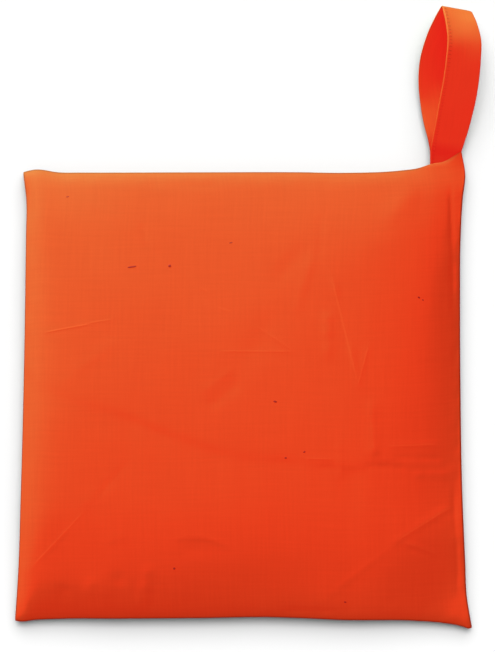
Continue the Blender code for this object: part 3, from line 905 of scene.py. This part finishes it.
def joined(name, shapes):
    """One mesh of many small closed shapes."""
    vertices = []
    faces = []
    for shape_vertices, shape_faces in shapes:
        start = len(vertices)
        vertices.extend(shape_vertices)
        faces.extend(tuple(start + index for index in face) for face in shape_faces)
    return mesh_piece(name, np.array(vertices), faces)


def strap_stitches(strap_path):
    """The row of stitches along the strap's left edge, on its outer side."""
    first, last = SEWN_IN, strap_path.along[-1] - SEWN_IN

    def read(columns, where):
        return np.array([np.interp(where, strap_path.along, column) for column in columns.T])

    def on_strap(where):
        *centre, _, width = read(strap_path.line, where)
        out = read(strap_path.outward, where)
        sideways = read(strap_path.across, where) * (EDGE_STITCH_IN - width / 2)
        return centre + sideways + out * (strap_thickness(EDGE_STITCH_IN, where) + 0.03 * MM), out

    shapes = []
    for number in range(int((last - first) / STITCH_PITCH)):
        middle = first + (number + 0.5) * STITCH_PITCH
        start, up = on_strap(middle - STITCH_LENGTH / 2)
        end, _ = on_strap(middle + STITCH_LENGTH / 2)
        shapes.append(capsule(start, end, up, THREAD_RADIUS, 0.8))
    return joined("strap_stitches", shapes)


def hem_stitches(lower_face):
    """The row that holds down the hem of the lower back, on its outer face."""
    spacing = 2.6 * MM
    length = 1.9 * MM
    end_gap = 3 * MM
    y = OUTER_HEM - HEM_DEPTH + 2 * MM
    row = np.argmin(np.abs(lower_face[:, lower_face.shape[1] // 2, 1] - y))
    xs = lower_face[row, :, 0]
    shapes = []
    for x in np.arange(xs[0] + end_gap, xs[-1] - end_gap, spacing):
        ends = []
        for place in (x, x + length):
            height = np.interp(place, xs, lower_face[row, :, 2])
            ends.append(np.array([place, y, height + 0.02 * MM]))
        shapes.append(capsule(ends[0], ends[1], np.array([0, 0, -1.0]), THREAD_RADIUS * 0.9, 0.5))
    return joined("hem_stitches", shapes)


def cloth_slubs(front_points):
    """The knots in the front's yarn, lying on the creased cloth."""
    normals = normals_of(front_points)
    shapes = []
    for slub in SLUBS:
        gap = np.hypot(front_points[..., 0] - slub.x * MM, front_points[..., 1] - slub.y * MM)
        row, column = np.unravel_index(np.argmin(gap), gap.shape)
        up = normals[row, column]
        middle = np.array([slub.x * MM, slub.y * MM, 0])
        away = middle - front_points[row, column]
        middle[2] = front_points[row, column, 2] - (away[0] * up[0] + away[1] * up[1]) / up[2]
        turn = math.radians(slub.turn)
        heading = np.array([math.cos(turn), math.sin(turn), 0])
        heading -= up * (heading @ up)
        half = heading * slub.length * MM / 2
        shapes.append(capsule(middle - half, middle + half, up, slub.width * MM / 2, 0.35))
    return joined("cloth_slubs", shapes)


# Folded vest inside.

def folded_vest_stack():
    """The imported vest: rounded layers, each a soft nose at the edge of the stack."""
    layers = 9
    sides = 160
    inset = 11 * MM
    under_front = 1.8 * MM
    over_back = 2.9 * MM
    angles = np.linspace(0, 2 * math.pi, sides, endpoint=False)
    square = 7

    def ring(scale):
        across = 0.5 + scale * (0.5 - inset / POUCH_WIDTH) * signed_power(np.cos(angles), 2 / square)
        along = 0.5 + scale * (0.5 - inset / POUCH_LENGTH) * signed_power(np.sin(angles), 2 / square)
        return across, along

    scales = (0.02, 0.2, 0.4, 0.6, 0.75, 0.86, 0.94, 0.98, 1.0)
    lows = [back_face(*ring(scale)) + (0, 0, over_back) for scale in scales]
    highs = [front_face(*ring(scale)) - (0, 0, under_front) for scale in scales]
    low, high = lows[-1], highs[-1]
    outward = low[:, :2] / np.linalg.norm(low[:, :2], axis=1)[:, None]
    edge = []
    for number in range(layers):
        for share in (0.2, 0.5, 0.8):
            nose = low + (high - low) * (number + share) / layers
            reach = (1.1 + 0.6 * math.sin(2.4 * number)) * MM * math.sin(math.pi * share)
            nose[:, :2] += outward * (reach + 0.25 * MM * np.sin(5 * angles + number))[:, None]
            edge.append(nose)
    rings = lows + edge + highs[::-1]
    vertices = np.concatenate(rings)
    return mesh_piece("folded_vest_stack", vertices, tube_faces(len(rings), sides), vertices)


# Finishes.

class Strand:
    """One value in a finish. Plain arithmetic on it adds the nodes that work it out."""

    def __init__(self, finish, socket):
        self.finish = finish
        self.socket = socket

    def __add__(self, other):
        return self.finish.maths("ADD", self, other)

    def __sub__(self, other):
        return self.finish.maths("SUBTRACT", self, other)

    def __rsub__(self, other):
        return self.finish.maths("SUBTRACT", other, self)

    def __mul__(self, other):
        return self.finish.maths("MULTIPLY", self, other)

    def __truediv__(self, other):
        return self.finish.maths("DIVIDE", self, other)

    def __abs__(self):
        return self.finish.maths("ABSOLUTE", self)

    __radd__ = __add__
    __rmul__ = __mul__


class Finish:
    """One material: its Principled shader, and the nodes that feed it."""

    def __init__(self, name, **uniform):
        self.material = bpy.data.materials.new(name)
        self.material.use_nodes = True
        self.tree = self.material.node_tree
        self.shader = self.tree.nodes["Principled BSDF"]
        self.set_sockets(self.shader, uniform)

    def feed(self, socket, value):
        if isinstance(value, Strand):
            self.tree.links.new(value.socket, socket)
        else:
            socket.default_value = value

    def set_sockets(self, node, values):
        for name, value in values.items():
            self.feed(next(s for s in node.inputs if s.enabled and s.name == name.replace("_", " ")), value)

    def node(self, kind, settings, output=0, **values):
        """A node of any kind: settings first, then the values or links of its sockets."""
        made = self.tree.nodes.new("ShaderNode" + kind)
        for name, value in settings.items():
            setattr(made, name, value)
        self.set_sockets(made, values)
        outputs = [s for s in made.outputs if s.enabled]
        found = outputs[output] if isinstance(output, int) else made.outputs[output]
        return Strand(self, found)

    def maths(self, operation, *inputs, kind="Math", output="Value"):
        """The result of one operation on its inputs, which come in their order."""
        made = self.tree.nodes.new("ShaderNode" + kind)
        made.operation = operation
        for socket, value in zip(made.inputs, inputs):
            self.feed(socket, value)
        return Strand(self, made.outputs[output])

    def vector(self, operation, *inputs, output="Vector"):
        return self.maths(operation, *inputs, kind="VectorMath", output=output)

    def carried(self, name, output="Vector"):
        """A value that the mesh carries at each of its points."""
        return self.node("Attribute", {"attribute_name": name}, output)

    def split(self, vector):
        made = self.node("SeparateXYZ", {}, Vector=vector).socket.node
        return [Strand(self, socket) for socket in made.outputs]

    def noise(self, place, scale, detail=2.0):
        return self.node("TexNoise", {}, "Fac", Vector=place, Scale=scale, Detail=detail)

    def stretched_noise(self, place, scales, detail=2.0):
        return self.noise(self.vector("MULTIPLY", place, scales), 1.0, detail)

    def between(self, value, low, high, start=0.0, end=1.0):
        """start below low, end above high, and a soft change between."""
        return self.node("MapRange", {"interpolation_type": "SMOOTHSTEP"}, Value=value,
                         From_Min=low, From_Max=high, To_Min=start, To_Max=end)

    def fading(self, value, low, high):
        """1 below low and 0 above high."""
        return self.between(value, low, high, 1.0, 0.0)

    def shaded(self, colour, tone):
        """colour times tone."""
        return self.node("Mix", {"data_type": "RGBA", "blend_type": "MULTIPLY"}, Factor=1.0,
                         A=(*colour, 1.0), B=tone)

    def dye_and_painted_glow(self, body, glow, tone, painted_glow_tone=None):
        """Base colour and glow, each times its tone; the glow is emission, which is painted light."""
        self.wear(Base_Color=self.shaded(body, tone), Emission_Color=self.shaded(glow, painted_glow_tone or tone),
                  Emission_Strength=1.0)

    def wear(self, **values):
        self.set_sockets(self.shader, values)

    def bumped(self, height):
        """height is in metres."""
        self.wear(Normal=self.node("Bump", {}, Strength=1.0, Distance=1.0, Height=height))


# The glow colours are emission, painted light: the cloths glow though they are no lamp.
DAYGLOW_BODY = (0.16, 0.080, 0.0178)
DAYGLOW_PAINTED_GLOW = (0.70, 0.0105, 0.0036)
STRAP_BODY = (0.050, 0.083, 0.013)
STRAP_PAINTED_GLOW = (0.770, 0.0095, 0.0085)
DAYGLOW_SHINE = (1.0, 0.35, 0.08, 1.0)
SLUB_BODY = (0.16, 0.020, 0.010)
SLUB_PAINTED_GLOW = (0.26, 0.004, 0.003)
VEST_BODY = (0.30, 0.10, 0.022)
VEST_PAINTED_GLOW = (0.45, 0.014, 0.006)
YARN_PITCH = 0.34 * MM
ROOT_MIDDLE = (81 * MM, 95 * MM, 0)


def plain_weave(finish, across, along, pitch):
    """Height from 0 to 1 of warp and weft going over and under each other."""
    warp = finish.maths("SINE", across * (math.pi / pitch))
    weft = finish.maths("SINE", along * (math.pi / pitch))
    over = finish.between(warp * weft, -0.35, 0.35)
    warp_round = abs(finish.maths("COSINE", across * (math.pi / pitch)))
    weft_round = abs(finish.maths("COSINE", along * (math.pi / pitch)))
    return over * warp_round + (1 - over) * weft_round


def pressed_line(finish, place, line):
    """1 on a fine pressed line, fading across its width and towards its ends."""
    start = (line.x1 * MM, line.y1 * MM, 0)
    chord = ((line.x2 - line.x1) * MM, (line.y2 - line.y1) * MM, 0)
    length_squared = chord[0] ** 2 + chord[1] ** 2
    away = finish.vector("SUBTRACT", place, start)
    run = finish.vector("DOT_PRODUCT", away, chord, output="Value") / length_squared
    inside = finish.maths("MINIMUM", finish.maths("MAXIMUM", run, 0), 1)
    nearest = finish.node("VectorMath", {"operation": "SCALE"}, Vector=chord, Scale=inside)
    off = finish.vector("LENGTH", finish.vector("SUBTRACT", away, nearest), output="Value")
    across = finish.fading(off, 0.0, line.width * MM)
    ends = finish.between(run, 0.0, 0.15) * finish.fading(run, 0.85, 1.0)
    return across * ends * line.strength


def pouch_finish(name, lines=()):
    finish = Finish(name, Specular_IOR_Level=0.10, Specular_Tint=DAYGLOW_SHINE)
    place = finish.carried("cloth_place")
    across, along, inward = finish.split(place)
    # The carried value below is the painted key light and shade of the glow.
    painted_key_light = finish.carried("painted_key_light", "Fac")
    weave = plain_weave(finish, across, along, YARN_PITCH)
    warp_streaks = finish.stretched_noise(place, (1100, 45, 0)) - 0.5
    weft_streaks = finish.stretched_noise(place, (45, 1100, 0)) - 0.5
    clouds = finish.noise(place, 38, 3) - 0.5
    # Painted shade where the turned edge rolls under at a seam; the front has less beside the loop's root.
    edge = finish.fading(inward, -0.1 * MM, 0.7 * MM)
    pressed = 0
    if lines:
        plan = finish.vector("SUBTRACT", finish.node("TexCoord", {}, "Object"), tuple(PLAN_SHIFT))
        level = finish.vector("MULTIPLY", plan, (1, 1, 0))
        off_root = finish.vector("DISTANCE", level, ROOT_MIDDLE, output="Value")
        edge = edge * finish.between(off_root, 9 * MM, 12 * MM, 0.15, 1.0)
        for line in lines:
            pressed = pressed_line(finish, level, line) + pressed
    tone = (1.0 + 0.08 * clouds + 0.16 * warp_streaks + 0.14 * weft_streaks
            + 0.06 * (weave - 0.6) - 0.25 * edge)
    painted_glow_tone = painted_key_light * (1.0 + 0.02 * clouds + 0.05 * warp_streaks + 0.05 * weft_streaks
                            - 0.42 * edge)
    height = 0.010 * MM * weave + 0.012 * MM * warp_streaks + 0.012 * MM * weft_streaks
    if lines:
        # Their paleness is partly stress whitening, partly a painted highlight on their fine ridges.
        tone = tone + 0.16 * pressed
        painted_glow_tone = painted_glow_tone + 0.012 * pressed
        height = height + 0.06 * MM * pressed
    finish.dye_and_painted_glow(DAYGLOW_BODY, DAYGLOW_PAINTED_GLOW, tone, painted_glow_tone)
    finish.wear(Roughness=0.78 + 0.08 * clouds - 0.05 * weave)
    finish.bumped(height)
    return finish.material


def strap_finish(crease_place):
    finish = Finish("strap_cloth_finish", Specular_IOR_Level=0.10, Specular_Tint=DAYGLOW_SHINE)
    place = finish.carried("cloth_place")
    in_from_left, along, _ = finish.split(place)
    in_from_right, to_far_end, side = finish.split(finish.carried("far_place"))
    weave = plain_weave(finish, in_from_left, along, YARN_PITCH)
    streaks = finish.stretched_noise(place, (1100, 60, 0)) - 0.5
    clouds = finish.noise(place, 90, 3) - 0.5
    outside = finish.between(side, -0.5, 0.5)
    off_stitch = abs(in_from_left - EDGE_STITCH_IN)
    seam_line = outside * finish.fading(off_stitch, 0.3 * MM, 0.9 * MM)
    pitch_wave = finish.maths("COSINE", along * (2 * math.pi / STITCH_PITCH))
    between_stitches = finish.between(pitch_wave, 0.2, 0.9)
    off_crease = abs(along - crease_place)
    # Needle marks between stitches: a dent and painted shade, strongest near the crease where the loop
    # light rakes.
    holes_and_shade_near_crease = finish.between(off_crease, HOLES_FULL_TO, HOLES_FAINT_FROM, 1.0, 0.3)
    stitch_holes_and_shade = seam_line * between_stitches * holes_and_shade_near_crease
    # Painted shade near both sewn-in ends, mostly on the base colour and a little on the glow.
    to_root = finish.maths("MINIMUM", along, to_far_end - ROOT_SHADE_UNDER)
    root_painted_shade = finish.fading(to_root, ROOT_SHADE_FROM, ROOT_SHADE_TO)
    # Darker along the strap's crease and along its edges.
    darker_crease_and_edges = (finish.fading(off_crease, 0.2 * MM, 0.7 * MM) + finish.fading(in_from_right, 0.0, 0.5 * MM)
            + (1 - outside) * finish.fading(in_from_left, 0.0, 0.5 * MM))
    tone = (1.0 + 0.05 * clouds + 0.08 * streaks + 0.05 * (weave - 0.6) - 0.20 * stitch_holes_and_shade
            - 0.02 * seam_line - 0.26 * darker_crease_and_edges)
    finish.dye_and_painted_glow(STRAP_BODY, STRAP_PAINTED_GLOW, tone * (1 - 0.70 * root_painted_shade), tone * (1 - 0.05 * root_painted_shade))
    finish.wear(Roughness=0.60 + 0.10 * clouds - 0.06 * weave)
    finish.bumped(0.010 * MM * weave + 0.012 * MM * streaks - 0.03 * MM * stitch_holes_and_shade)
    return finish.material


def thread_finish():
    finish = Finish("thread_finish", Specular_IOR_Level=0.15, Specular_Tint=DAYGLOW_SHINE, Roughness=0.5)
    place = finish.node("TexCoord", {}, "Object")
    twist = finish.node("TexWave", {"wave_type": "BANDS", "bands_direction": "DIAGONAL"}, "Fac",
                        Vector=place, Scale=900.0, Distortion=0.4)
    finish.dye_and_painted_glow(STRAP_BODY, STRAP_PAINTED_GLOW, 0.80 + 0.25 * twist)
    finish.bumped(0.02 * MM * twist)
    return finish.material


def slub_finish():
    finish = Finish("slub_finish", Specular_IOR_Level=0.2, Roughness=0.8)
    place = finish.node("TexCoord", {}, "Object")
    fuzz = finish.noise(place, 4000, 3)
    finish.dye_and_painted_glow(SLUB_BODY, SLUB_PAINTED_GLOW, 0.6 + 0.8 * fuzz)
    finish.bumped(0.03 * MM * fuzz)
    return finish.material


def vest_finish():
    """Warp-knitted polyester: columns of small loops."""
    finish = Finish("vest_knit_finish", Specular_IOR_Level=0.2, Sheen_Weight=0.2, Sheen_Roughness=0.5)
    place = finish.carried("cloth_place")
    x, y, _ = finish.split(place)
    column = finish.maths("SINE", x * (2 * math.pi / (0.9 * MM)))
    course = finish.maths("SINE", y * (2 * math.pi / (0.7 * MM)) + 1.2 * abs(column))
    loops = 0.5 + 0.5 * column * course
    clouds = finish.noise(place, 50, 3) - 0.5
    finish.dye_and_painted_glow(VEST_BODY, VEST_PAINTED_GLOW, 0.9 + 0.15 * loops + 0.08 * clouds)
    finish.wear(Roughness=0.75 - 0.08 * loops)
    finish.bumped(0.05 * MM * loops)
    return finish.material


# Stage.

KEY_PLACE = (-0.2787, 0.4667, 0.115)
KEY_AIM = (-0.0017, -0.0208, 0.015)
SIDE_LIGHT_PLACE = (-0.55, 0.14, 0.12)
SIDE_LIGHT_AIM = (-0.09, 0.04, 0.012)
LOOP_LIGHT_PLACE = (0.084, 0.52, 0.046)
LOOP_LIGHT_AIM = (0.084, 0.115, 0.022)
CAMERA_PLACE = (-0.00012, -0.00335, 2.0075)
CAMERA_LENS = 276.07
FLOOR_SIDE = 40.0


def camera_above():
    camera = added("camera", bpy.data.cameras.new("camera"))
    camera.data.lens = CAMERA_LENS
    camera.data.sensor_width = 36
    camera.location = CAMERA_PLACE
    camera.data.clip_start = 0.1
    bpy.context.scene.camera = camera


def pale_floor():
    half = FLOOR_SIDE / 2
    mesh = bpy.data.meshes.new("floor")
    mesh.from_pydata([(-half, -half, 0), (half, -half, 0), (half, half, 0), (-half, half, 0)], [],
                     [(0, 1, 2, 3)])
    floor = added("floor", mesh)
    floor.location.z = -0.05 * MM
    finish = Finish("floor_finish", Base_Color=(0.60, 0.60, 0.60, 1), Roughness=0.9, Specular_IOR_Level=0.1)
    mesh.materials.append(finish.material)
    return floor


def lamp(name, kind, energy, receivers):
    """A lamp that lights some objects alone."""
    light = added(name, bpy.data.lights.new(name, kind))
    light.data.energy = energy
    light.light_linking.receiver_collection = receivers
    return light


def soft_light(name, place, target, side, power, receivers):
    light = lamp(name, "AREA", power, receivers)
    light.data.shape = "SQUARE"
    light.data.size = side
    light.location = place
    aim = np.array(target) - np.array(place)
    yaw = math.atan2(aim[1], aim[0]) - math.pi / 2
    pitch = math.acos(-aim[2] / np.linalg.norm(aim))
    light.rotation_euler = (pitch, 0, yaw)
    light.visible_camera = False


def sky_light(name, elevation, heading, spread, strength, receivers):
    """Even light from far away: heading is where it comes from, in degrees anticlockwise from +X."""
    light = lamp(name, "SUN", strength, receivers)
    light.data.angle = math.radians(spread)
    light.rotation_euler = (math.radians(90 - elevation), 0, math.radians(heading - 270))


def gathered(name, members):
    """A collection of objects, for lamps to be kept to."""
    collection = bpy.data.collections.new(name)
    for member in members:
        collection.objects.link(member)
    return collection


def studio(floor, pieces, loop_pieces):
    world = bpy.data.worlds.new("studio")
    world.use_nodes = True
    world.node_tree.nodes["Background"].inputs["Color"].default_value = (1, 1, 1, 1)
    world.cycles_visibility.diffuse = False
    world.cycles_visibility.glossy = False
    bpy.context.scene.world = world
    lit_pieces = gathered("lit_pieces", pieces)
    lit_loop = gathered("lit_loop", loop_pieces)
    lit_floor = gathered("lit_floor", [floor])
    soft_light("key_softbox", KEY_PLACE, KEY_AIM, side=0.265, power=8.0, receivers=lit_pieces)
    soft_light("overhead_softbox", (0, 0, 1.4), (0, 0.0001, 0), side=2.4, power=11.8, receivers=lit_pieces)
    soft_light("loop_softbox", LOOP_LIGHT_PLACE, LOOP_LIGHT_AIM, side=0.05, power=3.75, receivers=lit_loop)
    soft_light("side_softbox", SIDE_LIGHT_PLACE, SIDE_LIGHT_AIM, side=0.2, power=0.55, receivers=lit_pieces)
    sky_light("floor_sky", elevation=55, heading=89, spread=60, strength=2.75, receivers=lit_floor)
    sky_light("floor_haze", elevation=75.5, heading=91, spread=30, strength=2.1, receivers=lit_floor)
    sky_light("floor_dome", elevation=90, heading=94, spread=150, strength=1.15, receivers=lit_floor)
    for piece in pieces:
        piece.light_linking.receiver_collection = lit_pieces
    floor.visible_diffuse = False
    floor.visible_glossy = False
    view = bpy.context.scene.view_settings
    view.view_transform = "Standard"
    view.look = "None"


def finished(piece, material):
    piece.data.materials.append(material)
    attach(piece, "root")


def main():
    front, front_points = front_cloth()
    back_lower, lower_face = back_cloth("pouch_back_lower_cloth", EDGE_INSET / POUCH_LENGTH,
                                        fraction_along(OUTER_HEM), hem_row=BACK_ROWS - 1, tucked=False)
    back_upper, _ = back_cloth("pouch_back_upper_cloth", fraction_along(INNER_HEM),
                               1 - EDGE_INSET / POUCH_LENGTH, hem_row=0, tucked=True)
    strap, strap_path, crease_place = hanging_loop_strap()
    stitches = strap_stitches(strap_path)
    hem_row = hem_stitches(lower_face)
    slubs = cloth_slubs(front_points)
    vest = folded_vest_stack()

    for cloth in (front, back_lower, back_upper):
        paint_key_light_into_glow(cloth)
    back_material = pouch_finish("pouch_back_finish")
    thread_material = thread_finish()
    finished(front, pouch_finish("pouch_front_finish", PRESSED_LINES))
    finished(back_lower, back_material)
    finished(back_upper, back_material)
    finished(strap, strap_finish(crease_place))
    finished(stitches, thread_material)
    finished(hem_row, thread_material)
    finished(slubs, slub_finish())
    finished(vest, vest_finish())

    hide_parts("pouch_front")
    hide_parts("pouch_back_lower")
    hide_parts("pouch_back_upper")
    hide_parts("hanging_loop")
    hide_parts("folded_vest")

    pieces = [front, back_lower, back_upper, strap, stitches, hem_row, slubs, vest]
    camera_above()
    studio(pale_floor(), pieces, [strap, stitches])


main()
